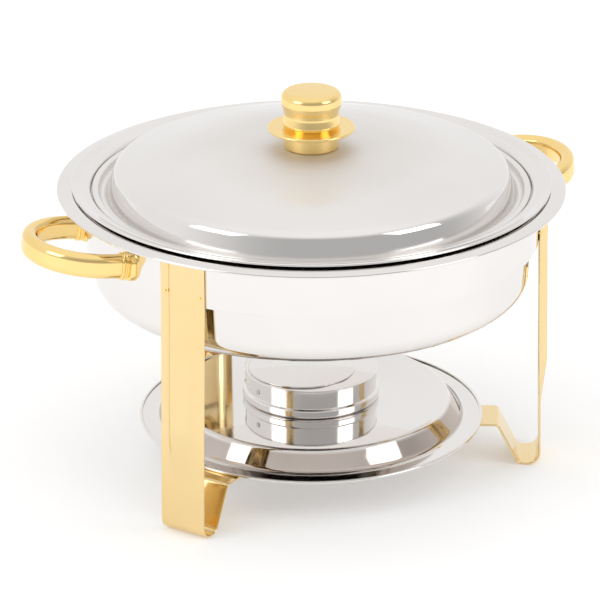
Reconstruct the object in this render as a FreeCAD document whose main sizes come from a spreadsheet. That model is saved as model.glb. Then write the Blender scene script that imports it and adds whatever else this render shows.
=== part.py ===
import FreeCAD, Part
import math
import os

import Sketcher
from FreeCAD import Placement, Rotation, Vector

# Round chafing dish food warmer: a three-legged stand with a burner tray and two carrying
# handles, a water pan, a food pan, a domed cover with a knob, and a fuel box with a swivel
# damper.  Millimetres.  +Z is up, Z = 0 is the table, the Z axis is the axis of the pans, -Y is
# the front, and the stand is the same on both sides of the YZ plane.

DRIVING_SIZES = {
    # sheet metal
    "pan_sheet": 0.8,
    "leg_sheet": 1.6,
    # support ring
    "ring_radius": 160.2,
    "ring_bottom": 170.0,
    # water pan
    "water_floor": 131.0,
    "water_floor_radius": 153.2,
    "water_mouth_radius": 156.0,
    "water_floor_bend": 15.0,
    "water_mouth_bend": 2.8,
    "water_flange": 207.1,
    "water_flange_flat": 168.0,
    "water_lip_radius": 177.2,
    "water_lip_drop": 1.1,
    "water_lip_skirt": 1.1,
    # food pan
    "food_floor": 148.0,
    "food_floor_radius": 148.2,
    "food_floor_bend": 14.0,
    "food_wall_radius": 150.4,
    "food_ledge": 202.9,
    "food_mouth_radius": 154.9,
    "food_mouth_bend": 3.6,
    "food_landing_radius": 161.0,
    "food_lip_radius": 167.2,
    "food_lip_rise": 2.2,
    "food_lip_skirt": 0.8,
    # cover
    "crown_height": 232.6,
    "crown_break": 70.0,
    "crown_bend": 600.0,
    "crease_radius": 136.7,
    "crease_height": 219.5,
    "crease_bend": 7.0,
    "channel_inner": 142.8,
    "channel_outer": 149.3,
    "channel_floor": 199.6,
    "channel_bend": 3.7,
    "brim_height": 205.3,
    "brim_radius": 152.7,
    "brim_foot": 203.7,
    # knob
    "knob_screw_radius": 2.4,
    "knob_foot_radius": 19.0,
    "knob_foot_bend": 0.8,
    "knob_neck_radius": 19.7,
    "collar_bottom": 246.4,
    "collar_top": 248.6,
    "collar_radius": 30.5,
    "cap_foot_radius": 18.6,
    "cap_flare_radius": 20.5,
    "cap_flare_height": 251.6,
    "cap_flare_bend": 2.0,
    "cap_waist_radius": 19.0,
    "cap_waist_height": 259.0,
    "cap_waist_bend": 9.0,
    "cap_brow_radius": 21.2,
    "cap_brow_height": 265.8,
    "cap_brow_bend": 3.0,
    "cap_crown_radius": 21.0,
    "cap_edge_height": 274.4,
    "cap_crown_bend": 5.0,
    "cap_top": 275.2,
    "cap_bore_top": 262.0,
    "knob_washer_radius": 8.0,
    "knob_washer_sheet": 1.2,
    "knob_head_radius": 4.6,
    "knob_head_height": 3.0,
    # legs
    "leg_width": 35.0,
    "leg_face": 161.5,
    "leg_top": 206.6,
    "leg_kink": 168.0,
    "leg_toe": 165.2,
    "leg_heel": 148.6,
    "leg_toe_bend": 9.5,
    "leg_heel_bend": 7.5,
    "tab_under": 29.6,
    "tab_knee": 133.4,
    "tab_end": 108.0,
    "tab_bend": 2.0,
    "rib_half_foot": 11.2,
    "rib_half_crest": 6.6,
    "rib_rise": 4.5,
    "rib_round": 3.0,
    "rib_fade": 78.0,
    "rib_end": 42.0,
    "rivet_height": 177.0,
    "rivet_offset": 14.0,
    "rivet_radius": 1.1,
    "rivet_head_radius": 1.5,
    "rivet_tail_radius": 2.2,
    # burner tray
    "plateau_under": 45.2,
    "plateau_radius": 97.5,
    "plateau_bend": 4.0,
    "skirt_foot": 108.5,
    "skirt_bend": 8.0,
    "flange_under": 31.2,
    "tray_radius": 123.0,
    "tray_bead": 2.0,
    "tray_bead_bend": 0.99,
    # handles
    "handle_height": 184.4,
    "handle_root": 157.0,
    "handle_tilt": 8.0,
    "handle_half_span": 40.5,
    "handle_reach": 51.9,
    "handle_bend": 40.4,
    "handle_start": 5.0,
    "handle_thick": 10.8,
    "handle_tall": 16.8,
    "handle_round": 5.2,
    "handle_wall": 1.2,
    "ferrule_flare": 0.8,
    "ferrule_plug": 2.4,
    "boss_thick": 18.0,
    "boss_tall": 18.6,
    "boss_round": 4.0,
    "handle_screw_radius": 2.0,
    "handle_screw_reach": 167.5,
    "handle_screw_head": 4.2,
    "handle_screw_cap": 2.2,
    # fuel box and damper
    "box_base": 46.0,
    "box_radius": 46.9,
    "box_bead_radius": 48.7,
    "box_bead_top": 52.2,
    "box_step_top": 53.6,
    "box_wall_top": 66.4,
    "box_sheet": 0.8,
    "box_top_radius": 47.4,
    "box_top_sheet": 1.0,
    "mouth_radius": 24.0,
    "mouth_offset": 3.8,
    "damper_radius": 38.2,
    "damper_sheet": 1.0,
    "damper_gap": 0.1,
    "damper_offset": 7.6,
    "pivot_across": 15.1,
    "pivot_back": 25.9,
    "pivot_radius": 1.6,
    "pivot_play": 0.05,
    "pivot_head_radius": 3.2,
    "stud_height": 58.8,
    "stud_radius": 1.9,
}

LEG_BEARINGS = {"front_left": -150.0, "front_right": -30.0, "back": 90.0}
HANDLE_BEARINGS = {"left": 177.3, "right": 2.7}
STUD_BEARING = -171.1

UPRIGHT = Rotation(Vector(1, 0, 0), 90)
ACROSS = Rotation(Vector(1, 1, 1), 120)

doc = FreeCAD.newDocument("ChafingDish")
sub_parts = []


# ---------------------------------------------------------------- sizes


class Size:
    """A size that carries both its number and the spreadsheet expression that gives it."""

    def __init__(self, number, text):
        self.number = number
        self.text = text

    def joined(self, sign, other, number):
        return Size(number, "(%s %s %s)" % (self.text, sign, text_of(other)))

    def __add__(self, other):
        return self.joined("+", other, self.number + number_of(other))

    def __sub__(self, other):
        return self.joined("-", other, self.number - number_of(other))

    def __mul__(self, other):
        return self.joined("*", other, self.number * number_of(other))

    def __truediv__(self, other):
        return self.joined("/", other, self.number / number_of(other))

    def __neg__(self):
        return Size(-self.number, "(0 - %s)" % self.text)


def number_of(size):
    return size.number if isinstance(size, Size) else float(size)


def text_of(size):
    return size.text if isinstance(size, Size) else repr(float(size))


class SizeSheet:
    """The spreadsheet, with each alias readable as an attribute."""

    def __init__(self):
        self.sheet = doc.addObject("Spreadsheet::Sheet", "Sizes")
        for row, (alias, number) in enumerate(DRIVING_SIZES.items(), start=1):
            self.sheet.set("A%d" % row, alias)
            self.sheet.set("B%d" % row, str(number))
            self.sheet.setAlias("B%d" % row, alias)
        doc.recompute()

    def __getattr__(self, alias):
        return Size(float(self.sheet.get(alias)), "Sizes." + alias)


S = SizeSheet()


def bind(thing, path, size):
    """Tie one property of a document object to the spreadsheet."""
    thing.setExpression(path, text_of(size))


# ---------------------------------------------------------------- sketching


def corner_arc(before, corner, after, bend):
    """The tangent points and the middle of the arc that rounds one corner."""
    back = (before - corner).normalize()
    ahead = (after - corner).normalize()
    half = back.getAngle(ahead) / 2
    bisector = (back + ahead).normalize()
    middle = corner + bisector * (bend / math.sin(half) - bend)
    reach = bend / math.tan(half)
    return corner + back * reach, middle, corner + ahead * reach


def pin_point(sketch, geometry, position, place):
    """Hold a point of the sketch at two sizes measured from the origin."""
    for kind, axis, size in (("DistanceX", -2, place[0]), ("DistanceY", -1, place[1])):
        if abs(number_of(size)) < 1e-9:
            sketch.addConstraint(Sketcher.Constraint("PointOnObject", geometry, position, axis))
            continue
        constraint = Sketcher.Constraint(kind, -1, 1, geometry, position, number_of(size))
        index = sketch.addConstraint(constraint)
        bind(sketch, "Constraints[%d]" % index, size)


def round_corner(sketch, lines, corner, arc_points, place):
    """Add the arc at one corner, tangent to both lines, with its bend bound to the sheet."""
    first, last = lines
    arc = sketch.addGeometry(Part.Arc(*arc_points), False)
    starts_here = (sketch.getPoint(arc, 1) - arc_points[0]).Length < 1e-6
    entry, leaving = (1, 2) if starts_here else (2, 1)
    sketch.addConstraint(Sketcher.Constraint("Tangent", first, 2, arc, entry))
    sketch.addConstraint(Sketcher.Constraint("Tangent", arc, leaving, last, 1))
    index = sketch.addConstraint(Sketcher.Constraint("Radius", arc, number_of(place[2])))
    bind(sketch, "Constraints[%d]" % index, place[2])
    point = sketch.addGeometry(Part.Point(corner), True)
    sketch.addConstraint(Sketcher.Constraint("PointOnObject", point, 1, first))
    sketch.addConstraint(Sketcher.Constraint("PointOnObject", point, 1, last))
    pin_point(sketch, point, 1, place)


def draw(sketch, places, closed):
    """Draw straight runs through the places; a place with a third size is a rounded corner."""
    count = len(places)
    corners = [Vector(number_of(place[0]), number_of(place[1]), 0) for place in places]
    arcs = {}
    for index, place in enumerate(places):
        if len(place) == 3:
            after = corners[(index + 1) % count]
            arcs[index] = corner_arc(corners[index - 1], corners[index], after, number_of(place[2]))
    lines = []
    for index in range(count if closed else count - 1):
        following = (index + 1) % count
        start = arcs[index][2] if index in arcs else corners[index]
        end = arcs[following][0] if following in arcs else corners[following]
        lines.append(sketch.addGeometry(Part.LineSegment(start, end), False))
    for index, place in enumerate(places):
        if index in arcs:
            pair = (lines[index - 1], lines[index])
            round_corner(sketch, pair, corners[index], arcs[index], place)
        elif index < len(lines):
            if closed or index > 0:
                joint = Sketcher.Constraint("Coincident", lines[index - 1], 2, lines[index], 1)
                sketch.addConstraint(joint)
            pin_point(sketch, lines[index], 1, place)
        else:
            pin_point(sketch, lines[-1], 2, place)


def draw_circle(sketch, centre, radius):
    middle = Vector(number_of(centre[0]), number_of(centre[1]), 0)
    circle = Part.Circle(middle, Vector(0, 0, 1), number_of(radius))
    geometry = sketch.addGeometry(circle, False)
    index = sketch.addConstraint(Sketcher.Constraint("Radius", geometry, number_of(radius)))
    bind(sketch, "Constraints[%d]" % index, radius)
    pin_point(sketch, geometry, 3, centre)


def rounded_box(centre, width, height, bend):
    """The four rounded corners of a box, for draw()."""
    low, high = centre - width / 2, centre + width / 2
    half = height / 2
    return [(low, -half, bend), (high, -half, bend), (high, half, bend), (low, half, bend)]


def free_sketch(name, rotation=UPRIGHT, height=None):
    """A sketch of the Part workbench: upright in the XZ plane, or level at a height."""
    sketch = doc.addObject("Sketcher::SketchObject", name)
    sketch.Placement = Placement(Vector(0, 0, 0), rotation)
    if height is not None:
        bind(sketch, "Placement.Base.z", height)
    return sketch


def body_sketch(body, name, role, shift=None):
    """A sketch on one of the body's origin planes, shifted along the plane's normal."""
    plane = [feature for feature in body.Origin.OriginFeatures if feature.Role == role][0]
    sketch = body.newObject("Sketcher::SketchObject", name)
    sketch.AttachmentSupport = [(plane, "")]
    sketch.MapMode = "FlatFace"
    if shift is not None:
        bind(sketch, "AttachmentOffset.Base.z", shift)
    return sketch


def keep(piece, label):
    """Name a finished piece and put it on the list that is written out."""
    piece.Label = label
    sub_parts.append(piece)
    return piece


# ---------------------------------------------------------------- ways of making a piece


def sheet_section(name, places, thickness):
    """A thick section of bent sheet: the drawn line is its underside, the sheet lies above."""
    line = free_sketch(name + "_line")
    draw(line, places, closed=False)
    doc.recompute()
    section = doc.addObject("Part::Offset2D", name + "_section")
    section.Source = line
    section.Value = thickness.number
    bind(section, "Value", thickness)
    section.Mode = "Skin"
    section.Join = "Intersection"
    section.Fill = True
    doc.recompute()
    return section


def spun_sheet(name, places, thickness):
    """Sheet spun about the Z axis."""
    shell = doc.addObject("Part::Revolution", name)
    shell.Source = sheet_section(name, places, thickness)
    shell.Axis = Vector(0, 0, 1)
    shell.Angle = 360
    shell.Solid = True
    return shell


def turned(name, places):
    """A solid turned about its own Z axis from a closed half section."""
    body = doc.addObject("PartDesign::Body", name)
    profile = body_sketch(body, name + "_profile", "XZ_Plane")
    draw(profile, places, closed=True)
    turning = body.newObject("PartDesign::Revolution", name + "_turning")
    turning.Profile = profile
    turning.ReferenceAxis = (profile, ["V_Axis"])
    turning.Angle = 360
    return body


def bored_bar(places, bore):
    """Close a half section given from bottom to top along a straight bore."""
    return [(bore, places[0][1])] + places + [(bore, places[-1][1])]


def cut_away(name, base, tools):
    """The base with every tool cut out of it."""
    tool = tools[0]
    if len(tools) > 1:
        tool = doc.addObject("Part::Compound", name + "_tools")
        tool.Links = tools
    cut = doc.addObject("Part::Cut", name)
    cut.Base = base
    cut.Tool = tool
    return cut


def drill(name, radius, length, placement):
    """A cylinder that cuts a round hole; its axis is the placement's Z axis."""
    cylinder = doc.addObject("Part::Cylinder", name)
    bind(cylinder, "Radius", radius)
    bind(cylinder, "Height", length)
    cylinder.Placement = placement
    return cylinder


def group_of_copies(label, pattern, placements):
    """Identical small pieces that share one node as separate solids."""
    doc.recompute()
    copies = []
    for placement in placements:
        copy = pattern.Shape.copy()
        copy.Placement = placement * copy.Placement
        copies.append(copy)
    group = doc.addObject("Part::Feature", label)
    group.Shape = Part.makeCompound(copies)
    return keep(group, label)


def facing_out(bearing, radius, offset, height):
    """A frame whose Z axis points away from the pan axis at a bearing, offset sideways."""
    turn = Rotation(Vector(0, 0, 1), bearing)
    place = turn.multVec(Vector(radius, offset, height))
    return Placement(place, turn * Rotation(Vector(0, 1, 0), 90))


# ---------------------------------------------------------------- pans and cover


def make_water_pan():
    wall_top = (S.water_mouth_radius, S.water_flange, S.water_mouth_bend)
    lip_height = S.water_flange - S.water_lip_drop
    places = [
        (0, S.water_floor),
        (S.water_floor_radius, S.water_floor, S.water_floor_bend),
        wall_top,
        (S.water_flange_flat, S.water_flange, S.water_floor_bend),
        (S.water_lip_radius, lip_height, S.pan_sheet * 0.6),
        (S.water_lip_radius, lip_height - S.water_lip_skirt),
    ]
    keep(spun_sheet("WaterPan", places, S.pan_sheet), "water_pan")


def make_food_pan():
    landing = S.water_flange + S.pan_sheet
    lip_height = landing + S.food_lip_rise
    places = [
        (0, S.food_floor),
        (S.food_floor_radius, S.food_floor, S.food_floor_bend),
        (S.food_wall_radius, S.food_ledge, S.pan_sheet * 0.5),
        (S.food_mouth_radius, S.food_ledge, S.pan_sheet * 1.4),
        (S.food_mouth_radius, landing, S.food_mouth_bend),
        (S.food_landing_radius, landing, S.food_mouth_bend),
        (S.food_lip_radius, lip_height, S.pan_sheet * 0.35),
        (S.food_lip_radius, lip_height - S.food_lip_skirt),
    ]
    keep(spun_sheet("FoodPan", places, S.pan_sheet), "food_pan")


def make_cover():
    places = [
        (S.knob_screw_radius, S.crown_height),
        (S.crown_break, S.crown_height, S.crown_bend),
        (S.crease_radius, S.crease_height, S.crease_bend),
        (S.channel_inner, S.channel_floor, S.channel_bend),
        (S.channel_outer, S.channel_floor, S.channel_bend),
        (S.channel_outer, S.brim_height, S.pan_sheet),
        (S.brim_radius, S.brim_height, S.pan_sheet * 0.5),
        (S.brim_radius, S.brim_foot),
    ]
    keep(spun_sheet("Cover", places, S.pan_sheet), "dome_cover")


# ---------------------------------------------------------------- knob


def make_knob():
    bore = S.knob_screw_radius
    neck = [
        (S.knob_foot_radius, S.crown_height + S.pan_sheet, S.knob_foot_bend),
        (S.knob_neck_radius, S.collar_bottom),
    ]
    keep(turned("KnobBase", bored_bar(neck, bore)), "knob_base")

    edge = (S.collar_top - S.collar_bottom) * 0.45
    collar = [
        (S.collar_radius, S.collar_bottom, edge),
        (S.collar_radius, S.collar_top, edge),
    ]
    keep(turned("KnobCollar", bored_bar(collar, bore)), "knob_collar")

    cap = [
        (bore, S.collar_top),
        (S.cap_foot_radius, S.collar_top),
        (S.cap_flare_radius, S.cap_flare_height, S.cap_flare_bend),
        (S.cap_waist_radius, S.cap_waist_height, S.cap_waist_bend),
        (S.cap_brow_radius, S.cap_brow_height, S.cap_brow_bend),
        (S.cap_crown_radius, S.cap_edge_height, S.cap_crown_bend),
        (0, S.cap_top),
        (0, S.cap_bore_top),
        (bore, S.cap_bore_top),
    ]
    keep(turned("KnobCap", cap), "knob_cap")

    washer_bottom = S.crown_height - S.knob_washer_sheet
    washer = [(S.knob_washer_radius, washer_bottom), (S.knob_washer_radius, S.crown_height)]
    keep(turned("KnobWasher", bored_bar(washer, bore)), "knob_washer")

    head_bottom = washer_bottom - S.knob_head_height
    screw = [
        (0, head_bottom),
        (S.knob_head_radius, head_bottom, S.knob_head_height * 0.4),
        (S.knob_head_radius, washer_bottom),
        (bore, washer_bottom),
        (bore, S.cap_bore_top),
        (0, S.cap_bore_top),
    ]
    keep(turned("KnobScrew", screw), "knob_screw")


# ---------------------------------------------------------------- stand: ring, legs, tray


def rivet_seat():
    """How far from the pan axis, along its own axis, a rivet meets the ring's inner face."""
    return math.sqrt((S.ring_radius - S.pan_sheet).number ** 2 - S.rivet_offset.number ** 2)


def rivet_placements(start):
    """Two rivets on each leg, pointing out from a distance to the pan axis."""
    return [
        facing_out(bearing, start, side * S.rivet_offset.number, S.rivet_height.number)
        for bearing in LEG_BEARINGS.values()
        for side in (-1, 1)
    ]


def make_leg_rivets():
    """A tail inside the ring, a shank through ring and leg, and a small round head outside."""
    reach = S.leg_face - rivet_seat()
    play = S.pan_sheet * 0.3
    tail = S.pan_sheet
    head = S.pan_sheet * 0.75
    places = [
        (0, -tail - play),
        (S.rivet_tail_radius, -tail - play, tail * 0.6),
        (S.rivet_tail_radius, -play),
        (S.rivet_radius, -play),
        (S.rivet_radius, reach),
        (S.rivet_head_radius, reach),
        (S.rivet_head_radius, reach + head, head * 0.8),
        (0, reach + head),
    ]
    group_of_copies("leg_rivets", turned("LegRivet", places), rivet_placements(rivet_seat()))


def rivet_holes(name):
    start = rivet_seat() - S.rivet_tail_radius.number
    return [
        drill("%s_%d" % (name, number), S.rivet_radius, S.leg_width, placement)
        for number, placement in enumerate(rivet_placements(start))
    ]


def make_ring():
    inner = S.ring_radius - S.pan_sheet
    wall = [(S.ring_radius, S.ring_bottom), (S.ring_radius, S.water_flange)]
    band = turned("RingBand", bored_bar(wall, inner))
    holes = rivet_holes("RingRivetHole") + handle_screw_holes("RingScrewHole")
    keep(cut_away("SupportRing", band, holes), "support_ring")


def leg_face_at(height):
    """The leg stands upright along the ring and splays a little below it."""
    if height.number >= S.leg_kink.number:
        return S.leg_face
    return S.leg_face + (S.leg_toe - S.leg_face) * (S.leg_kink - height) / S.leg_kink


def rib_loft(name, into, narrower):
    """The pressed rib as a loft: its outside, or with into and narrower its hollow back."""
    stations = (
        (S.leg_top, 1.0),
        (S.leg_kink, 1.0),
        (S.rib_fade, 1.0),
        (S.rib_end, 0.02),
    )
    sections = []
    for number, (height, share) in enumerate(stations):
        sketch = free_sketch("%s_%d" % (name, number), Rotation(), height)
        face = leg_face_at(height)
        root = face - S.leg_sheet * 0.5 - into
        crest = face + S.rib_rise * share - into
        foot_half = S.rib_half_foot - narrower
        crest_half = S.rib_half_crest - narrower * 0.4
        places = [
            (root, -foot_half),
            (crest, -crest_half, S.rib_round),
            (crest, crest_half, S.rib_round),
            (root, foot_half),
        ]
        draw(sketch, places, closed=True)
        sections.append(sketch)
    loft = doc.addObject("Part::Loft", name)
    loft.Sections = sections
    loft.Solid = True
    loft.Ruled = True
    return loft


def make_leg(side, bearing):
    """A bent strip: upright with a pressed rib, a foot on the table, and a tab for the tray."""
    name = "Leg_" + side
    places = [
        (S.tab_end, S.tab_under),
        (S.tab_knee, S.tab_under, S.tab_bend),
        (S.leg_heel, 0, S.leg_heel_bend),
        (S.leg_toe, 0, S.leg_toe_bend),
        (S.leg_face, S.leg_kink, S.leg_kink / 2),
        (S.leg_face, S.leg_top),
    ]
    strip = doc.addObject("Part::Extrusion", name + "_strip")
    strip.Base = sheet_section(name, places, S.leg_sheet)
    strip.DirMode = "Custom"
    strip.Dir = Vector(0, 1, 0)
    strip.Symmetric = True
    strip.Solid = True
    bind(strip, "LengthFwd", S.leg_width)

    ribbed = doc.addObject("Part::Fuse", name + "_ribbed")
    ribbed.Base = strip
    ribbed.Tool = rib_loft(name + "_rib", 0, 0)
    hollow = rib_loft(name + "_hollow", S.leg_sheet, S.leg_sheet * 0.6)
    blank = cut_away(name + "_blank", ribbed, [hollow])
    blank.Placement = Placement(Vector(0, 0, 0), Rotation(Vector(0, 0, 1), bearing))
    keep(cut_away(name, blank, rivet_holes(name + "_hole")), "leg_" + side)


def make_tray():
    """A raised round plateau, a sloping skirt and a flat flange with a rolled bead."""
    bead_top = S.flange_under + S.tray_bead
    places = [
        (0, S.plateau_under),
        (S.plateau_radius, S.plateau_under, S.plateau_bend),
        (S.skirt_foot, S.flange_under, S.skirt_bend),
        (S.tray_radius, S.flange_under, S.tray_bead_bend),
        (S.tray_radius, bead_top, S.tray_bead_bend),
        (S.tray_radius - S.tray_bead, bead_top),
    ]
    keep(spun_sheet("Tray", places, S.pan_sheet), "burner_tray")


# ---------------------------------------------------------------- carrying handles


def handle_frame(bearing):
    """Where a handle leaves the ring: X runs out along the handle, tipped up by its tilt."""
    turn = Rotation(Vector(0, 0, 1), bearing)
    place = turn.multVec(Vector(S.handle_root.number, 0, S.handle_height.number))
    return Placement(place, turn * Rotation(Vector(0, 1, 0), -S.handle_tilt.number))


def make_handle(side, bearing):
    """A flat oval tube bent into a half round loop."""
    body = doc.addObject("PartDesign::Body", "Handle_" + side)
    spine = body_sketch(body, "Handle_%s_spine" % side, "XY_Plane")
    half = S.handle_half_span
    places = [
        (S.handle_start, -half),
        (S.handle_reach, -half, S.handle_bend),
        (S.handle_reach, half, S.handle_bend),
        (S.handle_start, half),
    ]
    draw(spine, places, closed=False)
    skins = (("AdditivePipe", 0), ("SubtractivePipe", S.handle_wall))
    for kind, inset in skins:
        section = body_sketch(body, "Handle_%s_%s" % (side, kind), "YZ_Plane", S.handle_start)
        thick = S.handle_thick - inset * 2
        tall = S.handle_tall - inset * 2
        draw(section, rounded_box(-half, thick, tall, S.handle_round - inset), closed=True)
        pipe = body.newObject("PartDesign::" + kind, "Handle_%s_%s_pipe" % (side, kind))
        pipe.Profile = section
        pipe.Spine = spine
        doc.recompute()
    body.Placement = handle_frame(bearing)
    keep(body, "handle_" + side)


def oval_block(name, start, length, centre, grow, frame):
    """A straight length of the handle's oval, grown all round by the given amount."""
    sketch = free_sketch(name + "_oval", ACROSS)
    thick = S.handle_thick + grow * 2
    tall = S.handle_tall + grow * 2
    draw(sketch, rounded_box(centre, thick, tall, S.handle_round + grow), closed=True)
    bind(sketch, "Placement.Base.x", start)
    block = doc.addObject("Part::Extrusion", name)
    block.Base = sketch
    block.DirMode = "Custom"
    block.Dir = Vector(1, 0, 0)
    block.Solid = True
    bind(block, "LengthFwd", length)
    block.Placement = frame
    return block


def boss_loft(name, centre, frame):
    """The flared foot of a ferrule, from the ring outwards to the ringed part."""
    stations = (
        (-S.handle_start * 1.6, S.boss_thick, S.boss_tall, S.boss_round),
        (-S.handle_start * 0.5, S.boss_thick, S.boss_tall, S.boss_round),
        (S.handle_start * 0.2, S.handle_thick + 1, S.handle_tall + 1, S.handle_round),
    )
    sections = []
    for number, (start, thick, tall, bend) in enumerate(stations):
        sketch = free_sketch("%s_%d" % (name, number), ACROSS)
        bind(sketch, "Placement.Base.x", start)
        draw(sketch, rounded_box(centre, thick, tall, bend), closed=True)
        sections.append(sketch)
    loft = doc.addObject("Part::Loft", name)
    loft.Sections = sections
    loft.Solid = True
    loft.Ruled = True
    loft.Placement = frame
    return loft


def make_ferrule(side, end, bearing, centre):
    """The cast fitting between a handle's end and the ring, with a plug inside the tube."""
    name = "Ferrule_%s_%s" % (side, end)
    frame = handle_frame(bearing)
    start = S.handle_start
    ring = start * 0.25
    flare = S.ferrule_flare
    parts = [
        boss_loft(name + "_boss", centre, frame),
        oval_block(name + "_neck", start * 0.1, start * 0.9, centre, flare * 0.3, frame),
        oval_block(name + "_ring_low", ring, ring, centre, flare, frame),
        oval_block(name + "_ring_high", ring * 2.9, ring * 1.1, centre, flare, frame),
        oval_block(name + "_plug", start, S.ferrule_plug, centre, -S.handle_wall, frame),
    ]
    whole = doc.addObject("Part::MultiFuse", name + "_whole")
    whole.Shapes = parts
    drum = drill(name + "_drum", S.ring_radius, S.water_flange, Placement())
    hole = handle_screw_holes(name + "_hole", bearing)
    keep(cut_away(name, whole, [drum] + hole), "ferrule_%s_%s" % (side, end))


def handle_screw_placements(bearings):
    """Each screw is square to the ring where its ferrule stands."""
    seat = (S.ring_radius - S.pan_sheet).number
    swing = math.degrees(math.asin(S.handle_half_span.number / S.ring_radius.number))
    return [
        facing_out(bearing + way * swing, seat, 0, S.handle_height.number)
        for bearing in bearings
        for way in (-1, 1)
    ]


def handle_screw_holes(name, bearing=None):
    bearings = HANDLE_BEARINGS.values() if bearing is None else [bearing]
    reach = S.handle_screw_reach - S.ring_radius + S.pan_sheet
    return [
        drill("%s_%d" % (name, number), S.handle_screw_radius, reach, placement)
        for number, placement in enumerate(handle_screw_placements(bearings))
    ]


def make_handle_screws():
    """Pan-head screws from inside the ring into the ferrules."""
    cap = S.handle_screw_cap
    play = S.pan_sheet * 0.1
    places = [
        (0, -cap),
        (S.handle_screw_head, -cap, cap * 0.5),
        (S.handle_screw_head, -play),
        (S.handle_screw_radius, -play),
        (S.handle_screw_radius, S.handle_screw_reach - S.ring_radius + S.pan_sheet),
        (0, S.handle_screw_reach - S.ring_radius + S.pan_sheet),
    ]
    placements = handle_screw_placements(HANDLE_BEARINGS.values())
    group_of_copies("handle_screws", turned("HandleScrew", places), placements)


# ---------------------------------------------------------------- fuel box and damper


def make_fuel_box():
    places = [
        (0, S.box_base),
        (S.box_bead_radius, S.box_base, S.box_sheet * 3),
        (S.box_bead_radius, S.box_bead_top, S.box_sheet * 1.4),
        (S.box_radius, S.box_step_top, S.box_sheet * 0.8),
        (S.box_radius, S.box_wall_top),
    ]
    wall = spun_sheet("FuelBoxWall", places, S.box_sheet)
    stud_hole = drill("StudHole", S.pivot_radius, S.box_sheet * 4, stud_placement())
    keep(cut_away("FuelBox", wall, [stud_hole]), "fuel_box")


def disc(name, bottom, thickness, centre, radius, holes):
    """A flat round plate with round holes and softened edges."""
    body = doc.addObject("PartDesign::Body", name)
    outline = body_sketch(body, name + "_outline", "XY_Plane", bottom)
    draw_circle(outline, centre, radius)
    plate = body.newObject("PartDesign::Pad", name + "_plate")
    plate.Profile = outline
    bind(plate, "Length", thickness)
    doc.recompute()
    rim = body.newObject("PartDesign::Fillet", name + "_rim")
    rim.Base = (plate, ["Edge%d" % (number + 1) for number in range(len(plate.Shape.Edges))
                        if plate.Shape.Edges[number].Curve.TypeId == "Part::GeomCircle"])
    rim.Radius = thickness.number * 0.45
    bind(rim, "Radius", thickness * 0.45)
    doc.recompute()
    for number, (place, hole_radius) in enumerate(holes):
        sketch = body_sketch(body, "%s_hole_%d" % (name, number), "XY_Plane", bottom + thickness)
        draw_circle(sketch, place, hole_radius)
        pocket = body.newObject("PartDesign::Pocket", "%s_pocket_%d" % (name, number))
        pocket.Profile = sketch
        pocket.Type = "ThroughAll"
    return body


def make_box_top_and_damper():
    pivot = (S.pivot_across, S.pivot_back)
    mouth = (-S.mouth_offset, 0)
    top_holes = [(mouth, S.mouth_radius), (pivot, S.pivot_radius)]
    top = disc("BoxTop", S.box_wall_top, S.box_top_sheet, (0, 0), S.box_top_radius, top_holes)
    keep(top, "fuel_box_top")

    damper_bottom = S.box_wall_top + S.box_top_sheet + S.damper_gap
    swing_hole = [(pivot, S.pivot_radius + S.pivot_play)]
    middle = (-S.damper_offset, 0)
    plate = disc("Damper", damper_bottom, S.damper_sheet, middle, S.damper_radius, swing_hole)
    keep(plate, "damper_disc")


def make_pivot_rivet():
    """Holds the damper down on the fuel box top and lets it swing."""
    head_bottom = S.box_wall_top + S.box_top_sheet + S.damper_gap * 2 + S.damper_sheet
    head = S.box_sheet
    places = [
        (0, S.box_wall_top - head),
        (S.pivot_head_radius, S.box_wall_top - head, head * 0.5),
        (S.pivot_head_radius, S.box_wall_top),
        (S.pivot_radius, S.box_wall_top),
        (S.pivot_radius, head_bottom),
        (S.pivot_head_radius, head_bottom),
        (S.pivot_head_radius, head_bottom + head, head * 0.7),
        (0, head_bottom + head),
    ]
    rivet = turned("PivotRivet", places)
    rivet.Placement = Placement(Vector(S.pivot_across.number, S.pivot_back.number, 0), Rotation())
    keep(rivet, "damper_pivot_rivet")


def stud_placement():
    """The stud sits square to the wall, starting inside it."""
    return facing_out(STUD_BEARING, (S.box_radius - S.box_sheet * 2).number, 0, S.stud_height.number)


def make_stud():
    """A small round-headed rivet in the side of the fuel box."""
    inner = S.box_sheet * 0.9
    outer = S.box_sheet * 2
    places = [
        (0, 0),
        (S.stud_radius, 0, S.box_sheet * 0.3),
        (S.stud_radius, inner),
        (S.pivot_radius, inner),
        (S.pivot_radius, outer),
        (S.stud_radius, outer),
        (S.stud_radius, outer + S.box_sheet, S.box_sheet * 0.8),
        (0, outer + S.box_sheet),
    ]
    stud = turned("BoxStud", places)
    stud.Placement = stud_placement()
    keep(stud, "fuel_box_stud")


# ---------------------------------------------------------------- build, check and write


def build():
    make_ring()
    for side, bearing in LEG_BEARINGS.items():
        make_leg(side, bearing)
    make_leg_rivets()
    make_tray()
    for side, bearing in HANDLE_BEARINGS.items():
        make_handle(side, bearing)
        back_arm = S.handle_half_span if side == "right" else -S.handle_half_span
        make_ferrule(side, "back", bearing, back_arm)
        make_ferrule(side, "front", bearing, -back_arm)
    make_handle_screws()
    make_water_pan()
    make_food_pan()
    make_cover()
    make_knob()
    make_fuel_box()
    make_box_top_and_damper()
    make_pivot_rivet()
    make_stud()
    doc.recompute()


def check():
    for thing in doc.Objects:
        if "Invalid" in thing.State or "Error" in thing.State:
            raise RuntimeError("%s failed: %s" % (thing.Name, thing.State))
    for piece in sub_parts:
        if piece.Shape.isNull() or not piece.Shape.isValid() or piece.Shape.Volume <= 0:
            raise RuntimeError("%s has no sound shape" % piece.Label)


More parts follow.
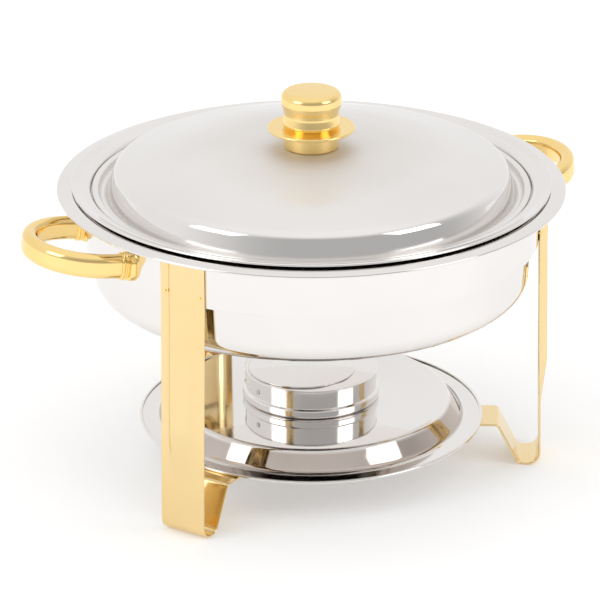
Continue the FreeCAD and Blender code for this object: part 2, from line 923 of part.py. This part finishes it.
def write():
    os.makedirs("parts", exist_ok=True)
    for piece in sub_parts:
        piece.Shape.exportStep("parts/%s.step" % piece.Label)
        solids = len(piece.Shape.Solids)
        print("%-24s %d solid(s) %10.1f mm3" % (piece.Label, solids, piece.Shape.Volume))


build()
check()
write()
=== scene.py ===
import math

import bmesh
import bpy
from mathutils import Matrix, Vector


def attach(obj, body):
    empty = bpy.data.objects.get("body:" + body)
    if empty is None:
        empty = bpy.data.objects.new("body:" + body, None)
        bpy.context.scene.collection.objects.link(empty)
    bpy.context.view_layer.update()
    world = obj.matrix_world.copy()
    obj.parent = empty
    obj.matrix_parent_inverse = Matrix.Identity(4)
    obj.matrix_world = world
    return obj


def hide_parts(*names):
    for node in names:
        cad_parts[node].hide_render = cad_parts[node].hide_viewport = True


# Looks for the round chafing dish food warmer.  Outlines are in millimetres in the frame of the
# CAD model, and are turned into metres when a mesh is made.

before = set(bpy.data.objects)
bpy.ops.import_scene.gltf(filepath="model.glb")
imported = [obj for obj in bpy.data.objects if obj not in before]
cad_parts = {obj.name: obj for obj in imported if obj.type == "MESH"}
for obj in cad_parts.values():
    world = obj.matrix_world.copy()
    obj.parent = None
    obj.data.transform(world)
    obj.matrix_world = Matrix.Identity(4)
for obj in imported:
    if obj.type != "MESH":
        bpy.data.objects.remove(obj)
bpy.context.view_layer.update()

MM = 0.001
SHEET = 0.8
ROUND_STEPS = 288
SHARP_ANGLE = 32
SMUDGE = 0.03
WATER_FLANGE = 207.1
RING_RADIUS = 160.2
RING_BOTTOM = 170.0


# ---------------------------------------------------------------- outlines


def arc_through_corner(before, corner, after, bend, coarse):
    """Points along the arc that rounds one corner of an outline."""
    back = (before - corner).normalized()
    ahead = (after - corner).normalized()
    half = back.angle(ahead) / 2
    reach = bend / math.tan(half)
    centre = corner + (back + ahead).normalized() * (bend / math.sin(half))
    start = corner + back * reach - centre
    turn = start.angle_signed(corner + ahead * reach - centre)
    count = max(2, math.ceil(abs(turn) / math.radians(coarse) - 0.01), math.ceil(abs(turn) * bend / 5))
    points = []
    for step in range(count + 1):
        angle = -turn * step / count
        cos, sin = math.cos(angle), math.sin(angle)
        spoke = Vector((start.x * cos - start.y * sin, start.x * sin + start.y * cos))
        points.append(centre + spoke)
    return points


def rounded_line(places, closed=False, coarse=7.5):
    """Straight runs through the places; a place with a third number is rounded to that bend."""
    corners = [Vector(place[:2]) for place in places]
    points = []
    for index, place in enumerate(places):
        inner = closed or 0 < index < len(places) - 1
        if len(place) == 3 and inner:
            before, after = corners[index - 1], corners[(index + 1) % len(corners)]
            points += arc_through_corner(before, corners[index], after, place[2], coarse)
        else:
            points.append(corners[index])
    return points


def split_long_runs(points, longest=9.0, closed=False):
    """Add points on the long straight runs, so that smooth shading stays even."""
    result = []
    last = len(points) if closed else len(points) - 1
    for index in range(last):
        start, end = points[index], points[(index + 1) % len(points)]
        pieces = max(1, math.ceil((end - start).length / longest))
        result += [start.lerp(end, piece / pieces) for piece in range(pieces)]
    if not closed:
        result.append(points[-1])
    return result


def left_normals(points):
    """The direction to the left of an open line at each of its points."""
    normals = []
    for index in range(len(points)):
        ahead = points[min(index + 1, len(points) - 1)] - points[index]
        behind = points[index] - points[max(index - 1, 0)]
        along = Vector((0, 0))
        for part in (ahead, behind):
            if part.length > 1e-9:
                along += part.normalized()
        along.normalize()
        turn = 1.0
        if ahead.length > 1e-9 and behind.length > 1e-9:
            turn = max(0.5, math.cos(ahead.angle(behind) / 2))
        normals.append(Vector((-along.y, along.x)) / turn)
    return normals


def sheet_outline(places):
    """The closed outline of a bent sheet whose underside runs through the places."""
    under = split_long_runs(rounded_line(places))
    normals = left_normals(under)
    over = [point + normal * SHEET for point, normal in zip(under, normals)]
    middle = (under[-1] + over[-1]) / 2
    ahead = Vector((normals[-1].y, -normals[-1].x)) * SHEET / 2
    spokes = [math.radians(angle) for angle in (-60, -30, 0, 30, 60)]
    side = (over[-1] - under[-1]) / 2
    end = [middle - ahead + ahead * math.cos(a) + side * math.sin(a) for a in spokes]
    return under[:-1] + [under[-1] - ahead] + end + [over[-1] - ahead] + over[-2::-1]


# ---------------------------------------------------------------- meshes


def finish_piece(piece, body, material, replaced):
    """Material, hiding the CAD node it replaces, and the place of a piece in the frame."""
    piece.data.materials.append(material)
    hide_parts(replaced)
    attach(piece, body)


def mesh_piece(name, shape):
    """Turn a bmesh in millimetres into an object in metres with weighted smooth normals."""
    bmesh.ops.remove_doubles(shape, verts=shape.verts, dist=1e-4)
    bmesh.ops.recalc_face_normals(shape, faces=shape.faces)
    bmesh.ops.scale(shape, vec=(MM, MM, MM), verts=shape.verts)
    mesh = bpy.data.meshes.new(name)
    shape.to_mesh(mesh)
    shape.free()
    mesh.shade_smooth()
    mesh.set_sharp_from_angle(angle=math.radians(SHARP_ANGLE))
    piece = bpy.data.objects.new(name, mesh)
    bpy.context.scene.collection.objects.link(piece)
    weighted = piece.modifiers.new("even_normals", "WEIGHTED_NORMAL")
    weighted.mode = "FACE_AREA"
    weighted.weight = 100
    weighted.keep_sharp = True
    return piece


def loft(loops, caps=False):
    """A skin over loops of the same number of points."""
    shape = bmesh.new()
    rings = [[shape.verts.new(point) for point in loop] for loop in loops]
    count = len(rings[0])
    pairs = list(zip(rings, rings[1:])) + ([(rings[-1], rings[0])] if not caps else [])
    for first, second in pairs:
        for index in range(count):
            following = (index + 1) % count
            corners = (first[index], first[following], second[following], second[index])
            shape.faces.new(corners)
    if caps:
        shape.faces.new(rings[0])
        shape.faces.new(rings[-1])
    return shape


def spun(name, outline, steps=ROUND_STEPS):
    """Turn a closed outline of (radius, height) about a vertical axis."""
    loops = []
    for step in range(steps):
        angle = 2 * math.pi * step / steps
        cos, sin = math.cos(angle), math.sin(angle)
        loops.append([
            (max(point.x, 0) * cos, max(point.x, 0) * sin, point.y)
            for point in outline
        ])
    return mesh_piece(name, loft(loops))


# ---------------------------------------------------------------- materials


class Nodes:
    """Short ways to add and join shader nodes."""

    def __init__(self, tree):
        self.tree = tree
        self.tree.nodes.clear()

    def add(self, kind, **settings):
        node = self.tree.nodes.new(kind)
        for key, value in settings.items():
            setattr(node, key, value)
        return node

    def feed(self, socket, source):
        if isinstance(source, bpy.types.NodeSocket):
            self.tree.links.new(source, socket)
        else:
            socket.default_value = source

    def math(self, operation, *values):
        node = self.add("ShaderNodeMath", operation=operation)
        for socket, value in zip(node.inputs, values):
            self.feed(socket, value)
        return node.outputs[0]

    def span(self, value, low, high, out_low=0.0, out_high=1.0, smooth=False):
        """Map a range of a value onto another, clamped."""
        node = self.add("ShaderNodeMapRange")
        node.interpolation_type = "SMOOTHSTEP" if smooth else "LINEAR"
        for socket, part in zip(node.inputs, (value, low, high, out_low, out_high)):
            self.feed(socket, part)
        return node.outputs[0]

    def noise(self, vector, scale, detail=3.0, roughness=0.55, distortion=0.0):
        node = self.add("ShaderNodeTexNoise")
        self.feed(node.inputs["Vector"], vector)
        node.inputs["Scale"].default_value = scale
        node.inputs["Detail"].default_value = detail
        node.inputs["Roughness"].default_value = roughness
        node.inputs["Distortion"].default_value = distortion
        return node.outputs["Fac"]

    def ramp(self, value, stops):
        node = self.add("ShaderNodeValToRGB")
        self.feed(node.inputs[0], value)
        elements = node.color_ramp.elements
        while len(elements) < len(stops):
            elements.new(0.5)
        for element, (position, colour) in zip(elements, stops):
            element.position = position
            element.color = (*colour, 1.0)
        return node.outputs[0]

    def blend(self, first, second, share):
        mix = self.add("ShaderNodeMix", data_type="RGBA")
        for socket, value in zip((mix.inputs[0], mix.inputs[6], mix.inputs[7]), (share, first, second)):
            self.feed(socket, value)
        return mix.outputs[2]

    def vector(self, x, y, z):
        node = self.add("ShaderNodeCombineXYZ")
        for socket, value in zip(node.inputs, (x, y, z)):
            self.feed(socket, value)
        return node.outputs[0]


def metal(name, colours, rough, grain, grain_scale, spun_lines, satin=(), painted_reflection=None):
    """Polished metal: colour drift, roughness smudges and fine polishing lines.

    With spun_lines the lines run round the object's axis, otherwise along its height.  Each
    entry of satin adds roughness between two radii: (radius, added there, radius, added there).
    The last argument is a painted dark reflection between two radii: (radius, radius, colour).
    """
    material = bpy.data.materials.new(name)
    material.use_nodes = True
    nodes = Nodes(material.node_tree)
    place = nodes.add("ShaderNodeTexCoord").outputs["Object"]
    parts = nodes.add("ShaderNodeSeparateXYZ")
    nodes.feed(parts.inputs[0], place)
    x, y, z = parts.outputs

    drift = nodes.noise(place, 9.0, detail=2.0)
    tone = nodes.ramp(drift, ((0.3, colours[0]), (0.7, colours[1])))

    across = nodes.math("SQRT", nodes.math("ADD", nodes.math("MULTIPLY", x, x), nodes.math("MULTIPLY", y, y)))
    if spun_lines:
        along = nodes.math("MULTIPLY", nodes.math("ARCTAN2", y, x), 0.012)
        lines_at = nodes.vector(across, z, along)
    else:
        lines_at = nodes.vector(x, y, nodes.math("MULTIPLY", z, 0.02))
    lines = nodes.noise(lines_at, grain_scale, detail=4.0, roughness=0.7)
    # Painted reflection: a patchy brownish darker ring that stands in for the shadowed pan underside mirrored
    # in the metal.
    if painted_reflection:
        inside = nodes.span(across, painted_reflection[0], painted_reflection[0] + 0.002, smooth=True)
        outside = nodes.span(across, painted_reflection[1], painted_reflection[1] + 0.002, 1.0, 0.0, smooth=True)
        patchy = nodes.span(nodes.noise(place, 14.0), 0.3, 0.7, 0.75, 1.0)
        share = nodes.math("MULTIPLY", nodes.math("MULTIPLY", inside, outside), patchy)
        tone = nodes.blend(tone, (*painted_reflection[2], 1.0), share)
    cloud = nodes.noise(place, 23.0, detail=4.0, distortion=0.6)
    specks = nodes.noise(place, 420.0, detail=1.0)
    polish = nodes.math("MULTIPLY_ADD", nodes.math("SUBTRACT", cloud, 0.5), SMUDGE * 2, rough)
    polish = nodes.math("MULTIPLY_ADD", nodes.math("SUBTRACT", specks, 0.5), SMUDGE, polish)

    for inner, inner_dull, outer, outer_dull in satin:
        dull = nodes.span(across, inner, outer, inner_dull, outer_dull, smooth=True)
        polish = nodes.math("ADD", polish, dull)

    bump = nodes.add("ShaderNodeBump")
    bump.inputs["Strength"].default_value = grain
    bump.inputs["Distance"].default_value = 0.0001
    nodes.feed(bump.inputs["Height"], lines)

    shader = nodes.add("ShaderNodeBsdfPrincipled")
    shader.inputs["Metallic"].default_value = 1.0
    nodes.feed(shader.inputs["Base Color"], tone)
    nodes.feed(shader.inputs["Roughness"], nodes.math("MAXIMUM", polish, 0.02))
    nodes.feed(shader.inputs["Normal"], bump.outputs[0])
    output = nodes.add("ShaderNodeOutputMaterial")
    nodes.feed(output.inputs["Surface"], shader.outputs[0])
    return material


STEEL_COLOURS = ((0.80, 0.775, 0.755), (0.845, 0.82, 0.80))
GOLD_COLOURS = ((0.95, 0.68, 0.26), (0.98, 0.74, 0.33))
LEG_GOLD_COLOURS = ((0.87, 0.66, 0.33), (0.90, 0.71, 0.40))
steel_spun = metal("steel_spun", STEEL_COLOURS, 0.09, 0.05, 900.0, True)
steel_cover = metal("steel_cover", STEEL_COLOURS, 0.07, 0.04, 900.0, True, satin=(
    (0.060, 0.6, 0.128, 0.0), (0.1405, 0.0, 0.1435, 0.22),
))
steel_bright = metal("steel_bright", STEEL_COLOURS, 0.05, 0.02, 700.0, True)
# The tray's sloping skirt gets a painted reflection: a brownish darker ring that stands in for the shadowed
# pan underside and legs mirrored there.
steel_tray = metal("steel_tray", STEEL_COLOURS, 0.05, 0.02, 700.0, True, painted_reflection=(
    0.0985, 0.108, (0.5, 0.43, 0.38),
))
steel_plain = metal("steel_plain", STEEL_COLOURS, 0.12, 0.03, 800.0, False)
gold_bright = metal("gold_bright", GOLD_COLOURS, 0.10, 0.03, 800.0, False)
gold_leg = metal("gold_leg", LEG_GOLD_COLOURS, 0.12, 0.03, 900.0, False)
gold_spun = metal("gold_spun", GOLD_COLOURS, 0.16, 0.12, 1400.0, True)
screw_steel = metal("screw_steel", ((0.60, 0.59, 0.57), (0.68, 0.67, 0.65)), 0.25, 0.05, 600.0, False)


# ---------------------------------------------------------------- pans and cover


def make_pans_and_cover():
    water = sheet_outline([
        (0, 131.0), (153.2, 131.0, 15.0), (156.0, WATER_FLANGE, 2.8), (168.0, WATER_FLANGE, 20.0),
        (177.2, 206.0, 0.5), (177.2, 204.9),
    ])
    food = sheet_outline([
        (0, 148.0), (148.2, 148.0, 14.0), (150.4, 202.9, 0.4), (154.9, 202.9, 1.12),
        (154.9, 207.9, 3.6), (161.0, 207.9, 3.6), (167.2, 210.1, 0.28), (167.2, 209.3),
    ])
    cover = sheet_outline([
        (0, 232.6), (70.0, 232.6, 600.0), (136.7, 219.5, 7.0), (142.8, 199.6, 3.7),
        (149.3, 199.6, 3.7), (149.3, 205.3, 0.8), (152.7, 205.3, 0.4), (152.7, 203.7),
    ])
    for name, outline, body, material, node in (
        ("water_pan_shell", water, "water_pan_body", steel_spun, "water_pan"),
        ("food_pan_shell", food, "food_pan_body", steel_spun, "food_pan"),
        ("cover_shell", cover, "cover_body", steel_cover, "dome_cover"),
    ):
        finish_piece(spun(name, outline), body, material, node)


def make_ring():
    inside = RING_RADIUS - SHEET
    band = rounded_line([
        (inside, RING_BOTTOM, 0.3), (RING_RADIUS, RING_BOTTOM, 0.3),
        (RING_RADIUS, WATER_FLANGE, 0.2), (inside, WATER_FLANGE, 0.2),
    ], closed=True)
    piece = spun("ring_band", split_long_runs(band, closed=True))
    finish_piece(piece, "stand", steel_spun, "support_ring")


# ---------------------------------------------------------------- knob


COLLAR_BOTTOM = 246.4
COLLAR_TOP = 248.6
COLLAR_RADIUS = 30.5
KNOB_STEPS = 128


def make_knob():
    base = rounded_line([
        (0, 233.4), (19.0, 233.4, 1.6), (19.7, COLLAR_BOTTOM, 0.2), (0, COLLAR_BOTTOM),
    ], coarse=12)
    collar = rounded_line([
        (0, COLLAR_BOTTOM), (COLLAR_RADIUS, COLLAR_BOTTOM, 1.05),
        (COLLAR_RADIUS, COLLAR_TOP, 1.05), (0, COLLAR_TOP),
    ], coarse=15)
    cap = rounded_line([
        (0, COLLAR_TOP), (18.6, COLLAR_TOP), (20.5, 251.6, 2.0), (19.0, 259.0, 9.0),
        (21.2, 265.8, 3.0), (21.0, 274.4, 5.0), (0, 275.2),
    ], coarse=6)
    for name, outline, node in (
        ("knob_base_turned", base, "knob_base"),
        ("knob_collar_turned", collar, "knob_collar"),
        ("knob_cap_turned", cap, "knob_cap"),
    ):
        piece = spun(name, split_long_runs(outline, 4.0), steps=KNOB_STEPS)
        finish_piece(piece, "cover_body", gold_spun, node)


# ---------------------------------------------------------------- legs and tray


LEG_WIDTH = 35.0
LEG_SHEET = 1.6
RIB_RISE = 4.5
RIB_END = 42.0
RIB_FADE = 36.0
RIB_HALF_FOOT = 11.2
RIB_HALF_CREST = 6.6
RIB_REACH = 12.5
RIB_STEP = 0.55
RIB_STEPS = 46
LEG_BEARINGS = {"front_left": -150.0, "front_right": -30.0, "back": 90.0}


def rib_height(height, offset):
    """How far the pressed rib stands out at a height on the leg and a distance from its middle."""
    rise = RIB_RISE * min(1.0, max(0.0, (height - RIB_END) / RIB_FADE))
    slope = RIB_HALF_FOOT - RIB_HALF_CREST
    share = min(1.0, max(0.0, (RIB_HALF_FOOT - abs(offset)) / slope))
    soft = share * share * (3 - 2 * share)
    return rise * (0.5 * share + 0.5 * soft)


def strip_section(height):
    """The cross-section of the leg strip: (distance from the middle, distance outwards)."""
    half = LEG_WIDTH / 2
    edge = LEG_SHEET / 2
    inner_half = half - edge
    offsets = [-inner_half]
    offsets += [-RIB_REACH + RIB_STEP * step for step in range(RIB_STEPS)]
    offsets += [inner_half]
    outer = [(offset, rib_height(height, offset)) for offset in offsets]
    inner = [(offset, rib_height(height, offset) - LEG_SHEET) for offset in reversed(offsets)]
    turn = [math.radians(angle) for angle in (60, 30, 0, -30, -60)]
    right = [(inner_half + edge * math.cos(a), -edge + edge * math.sin(a)) for a in turn]
    left = [(-across, outward) for across, outward in reversed(right)]
    return outer + right + inner + left


def make_leg(side, bearing):
    places = [
        (108.0, 29.6), (133.4, 29.6, 2.0), (148.6, 0.0, 7.5), (165.2, 0.0, 9.5),
        (161.5, 168.0, 84.0), (161.5, 206.6),
    ]
    line = split_long_runs(rounded_line(places, coarse=6), longest=3.0)
    normals = left_normals(line)
    turn = Matrix.Rotation(math.radians(bearing), 3, "Z")
    loops = []
    for point, normal in zip(line, normals):
        upright = point.x > 155 and point.y > 12
        height = point.y if upright else 0.0
        loop = []
        for across, outward in strip_section(height):
            place = point - normal * outward
            loop.append(turn @ Vector((place.x, across, place.y)))
        loops.append(loop)
    piece = mesh_piece("leg_strip_" + side, loft(loops, caps=True))
    finish_piece(piece, "stand", gold_leg, "leg_" + side)


def make_tray():
    tray = sheet_outline([
        (0, 45.2), (97.5, 45.2, 4.0), (108.5, 31.2, 8.0), (123.0, 31.2, 0.99),
        (123.0, 33.2, 0.99), (121.0, 33.2),
    ])
    finish_piece(spun("tray_pressing", tray), "stand", steel_tray, "burner_tray")


# ---------------------------------------------------------------- handles


HANDLE_HEIGHT = 184.4
HANDLE_ROOT = 157.0
HANDLE_TILT = 8.0
HANDLE_SPAN = 40.5
HANDLE_REACH = 51.9
HANDLE_BEND = 40.4
HANDLE_THICK = 10.8
HANDLE_TALL = 16.8
HANDLE_ROUND = 5.3
HANDLE_START = 5.0
HANDLE_BEARINGS = {"left": 177.3, "right": 2.7}


def handle_matrix(bearing):
    """X runs out along the handle and Y across it."""
    turn = Matrix.Rotation(math.radians(bearing), 4, "Z")
    lift = Matrix.Translation((HANDLE_ROOT, 0, HANDLE_HEIGHT))
    return turn @ lift @ Matrix.Rotation(math.radians(-HANDLE_TILT), 4, "Y")


def oval(thick, tall, bend):
    """A rounded box round the origin: (across, up)."""
    a, b = thick / 2, tall / 2
    return rounded_line([(-a, -b, bend), (a, -b, bend), (a, b, bend), (-a, b, bend)], True, 10)


def make_handle(side, bearing):
    centre_line = rounded_line([
        (HANDLE_START, -HANDLE_SPAN), (HANDLE_REACH, -HANDLE_SPAN, HANDLE_BEND),
        (HANDLE_REACH, HANDLE_SPAN, HANDLE_BEND), (HANDLE_START, HANDLE_SPAN),
    ], coarse=2.5)
    place = handle_matrix(bearing)
    section = oval(HANDLE_THICK, HANDLE_TALL, HANDLE_ROUND)
    loops = []
    for point, normal in zip(centre_line, left_normals(centre_line)):
        sideways = normal.normalized()
        loops.append([
            place @ Vector((point.x + sideways.x * across, point.y + sideways.y * across, up))
            for across, up in section
        ])
    piece = mesh_piece("handle_loop_" + side, loft(loops, caps=True))
    finish_piece(piece, "stand", gold_bright, "handle_" + side)


def on_ring(place, across, up):
    """Where a line along the handle's own X meets the outside of the ring."""
    low, high = -20.0, 20.0
    for _ in range(40):
        middle = (low + high) / 2
        spot = place @ Vector((middle, across, up))
        if math.hypot(spot.x, spot.y) < RING_RADIUS:
            low = middle
        else:
            high = middle
    return high


def make_ferrule(side, end, bearing, centre):
    place = handle_matrix(bearing)
    profile = [(-3.0, 7.2, 1.8), (-1.2, 7.2, 1.8), (-0.2, 6.2, 1.6), (0.4, 2.6, 1.2), (1.0, 1.8, 0.8)]
    for ring in (1.1, 3.1):
        profile += [
            (ring, 1.4, 0.8), (ring + 0.3, 2.4, 1.6), (ring + 0.9, 2.8, 2.0), (ring + 1.5, 2.4, 1.6),
            (ring + 1.8, 1.4, 0.8),
        ]
    profile.append((5.0, 0.1, 0.1))
    loops = []
    for number, (start, wider, taller) in enumerate(profile):
        loop = []
        for across, up in oval(HANDLE_THICK + wider, HANDLE_TALL + taller, min(4.6 + wider / 2, 5.9)):
            x = on_ring(place, centre + across, up) + 0.01 * number
            if number > 0:
                x = max(start, x)
            loop.append(place @ Vector((x, centre + across, up)))
        loops.append(loop)
    piece = mesh_piece("ferrule_cast_%s_%s" % (side, end), loft(loops, caps=True))
    finish_piece(piece, "stand", gold_bright, "ferrule_%s_%s" % (side, end))


# ---------------------------------------------------------------- fuel box


def make_fuel_box():
    wall = sheet_outline([
        (0, 46.0), (48.7, 46.0, 2.4), (48.7, 52.2, 1.12), (46.9, 53.6, 0.64), (46.9, 66.4),
    ])
    piece = spun("fuel_box_wall", wall, steps=160)
    finish_piece(piece, "fuel_box_body", steel_plain, "fuel_box")


def dress_cad_nodes():
    """CAD nodes that are shown as they are."""
    for node, material in (
        ("leg_rivets", gold_bright), ("handle_screws", screw_steel),
        ("knob_washer", screw_steel), ("knob_screw", screw_steel),
        ("fuel_box_top", steel_bright), ("damper_disc", steel_bright),
        ("damper_pivot_rivet", screw_steel), ("fuel_box_stud", screw_steel),
    ):
        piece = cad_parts[node]
        piece.data.materials.clear()
        piece.data.materials.append(material)


# ---------------------------------------------------------------- studio


CAMERA_AZIMUTH = -27.6
CAMERA_ELEVATION = 22.14
CAMERA_DISTANCE = 2.44
CAMERA_AIM = Vector((-0.00703, 0.00368, 0.11785))
CAMERA_LENS = 206.3


def outwards(azimuth, elevation):
    """The direction that many degrees round from -Y towards +X, and that many up."""
    round_by, up_by = math.radians(azimuth), math.radians(elevation)
    level = math.cos(up_by)
    return Vector((math.sin(round_by) * level, -math.cos(round_by) * level, math.sin(up_by)))


def make_camera():
    back = outwards(CAMERA_AZIMUTH, CAMERA_ELEVATION)
    data = bpy.data.cameras.new("camera")
    data.sensor_width = 36.0
    data.lens = CAMERA_LENS
    data.clip_start = 0.1
    data.clip_end = 60.0
    camera = bpy.data.objects.new("camera", data)
    bpy.context.scene.collection.objects.link(camera)
    camera.location = CAMERA_AIM + back * CAMERA_DISTANCE
    camera.rotation_mode = "QUATERNION"
    camera.rotation_quaternion = (-back).to_track_quat("-Z", "Y")
    bpy.context.scene.camera = camera


FLOOR_RADIUS = 6.0
FLOOR_TONE = 0.9
FLOOR_GLOW = 0.22


def make_floor():
    """A plain pale table top."""
    shape = bmesh.new()
    bmesh.ops.create_circle(shape, cap_ends=True, radius=FLOOR_RADIUS / MM, segments=96)
    floor = mesh_piece("floor", shape)
    material = bpy.data.materials.new("floor_white")
    material.use_nodes = True
    nodes = Nodes(material.node_tree)
    shader = nodes.add("ShaderNodeBsdfPrincipled")
    shader.inputs["Base Color"].default_value = (FLOOR_TONE, FLOOR_TONE, FLOOR_TONE, 1.0)
    shader.inputs["Roughness"].default_value = 0.8
    shader.inputs["Specular IOR Level"].default_value = 0.0
    shader.inputs["Emission Color"].default_value = (1.0, 1.0, 1.0, 1.0)
    shader.inputs["Emission Strength"].default_value = FLOOR_GLOW
    output = nodes.add("ShaderNodeOutputMaterial")
    nodes.feed(output.inputs["Surface"], shader.outputs[0])
    floor.data.materials.append(material)


BACK_LIGHT = (0.95, 0.95, 0.95, 1.0)
FRONT_LIGHT = (0.5, 0.5, 0.5, 1.0)
TOP_LIGHT = (1.0, 1.0, 1.0, 1.0)


def make_world():
    """Soft light from all round: brightest behind and overhead, dimmer in front."""
    world = bpy.data.worlds.new("studio")
    bpy.context.scene.world = world
    world.use_nodes = True
    nodes = Nodes(world.node_tree)
    parts = nodes.add("ShaderNodeSeparateXYZ")
    nodes.feed(parts.inputs[0], nodes.add("ShaderNodeTexCoord").outputs["Generated"])
    y, z = parts.outputs[1:]
    level = nodes.blend(FRONT_LIGHT, BACK_LIGHT, nodes.span(y, -0.8, 0.4, smooth=True))
    level = nodes.blend(level, TOP_LIGHT, nodes.span(z, 0.5, 0.95, smooth=True))
    background = nodes.add("ShaderNodeBackground")
    nodes.feed(background.inputs["Color"], level)
    output = nodes.add("ShaderNodeOutputWorld")
    nodes.feed(output.inputs["Surface"], background.outputs[0])
    bpy.context.scene.view_settings.view_transform = "Standard"


SOFT_BOXES = {"soft_box_left": (-85.0, 30.0), "soft_box_right": (35.0, 30.0)}
SOFT_BOX_SIZE = 1.2
SOFT_BOX_DISTANCE = 2.5
SOFT_BOX_WATTS = 9.0


def make_soft_box(name, azimuth, elevation):
    data = bpy.data.lights.new(name, "AREA")
    data.size = SOFT_BOX_SIZE
    data.energy = SOFT_BOX_WATTS
    box = bpy.data.objects.new(name, data)
    bpy.context.scene.collection.objects.link(box)
    back = outwards(azimuth, elevation)
    box.location = CAMERA_AIM + back * SOFT_BOX_DISTANCE
    box.rotation_mode = "QUATERNION"
    box.rotation_quaternion = (-back).to_track_quat("-Z", "Y")


make_pans_and_cover()
make_ring()
make_knob()
for leg_side, leg_bearing in LEG_BEARINGS.items():
    make_leg(leg_side, leg_bearing)
make_tray()
for handle_side, handle_bearing in HANDLE_BEARINGS.items():
    make_handle(handle_side, handle_bearing)
    back_arm = HANDLE_SPAN if handle_side == "right" else -HANDLE_SPAN
    make_ferrule(handle_side, "back", handle_bearing, back_arm)
    make_ferrule(handle_side, "front", handle_bearing, -back_arm)
make_fuel_box()
dress_cad_nodes()
make_camera()
make_floor()
make_world()
for box_name, (box_azimuth, box_elevation) in SOFT_BOXES.items():
    make_soft_box(box_name, box_azimuth, box_elevation)
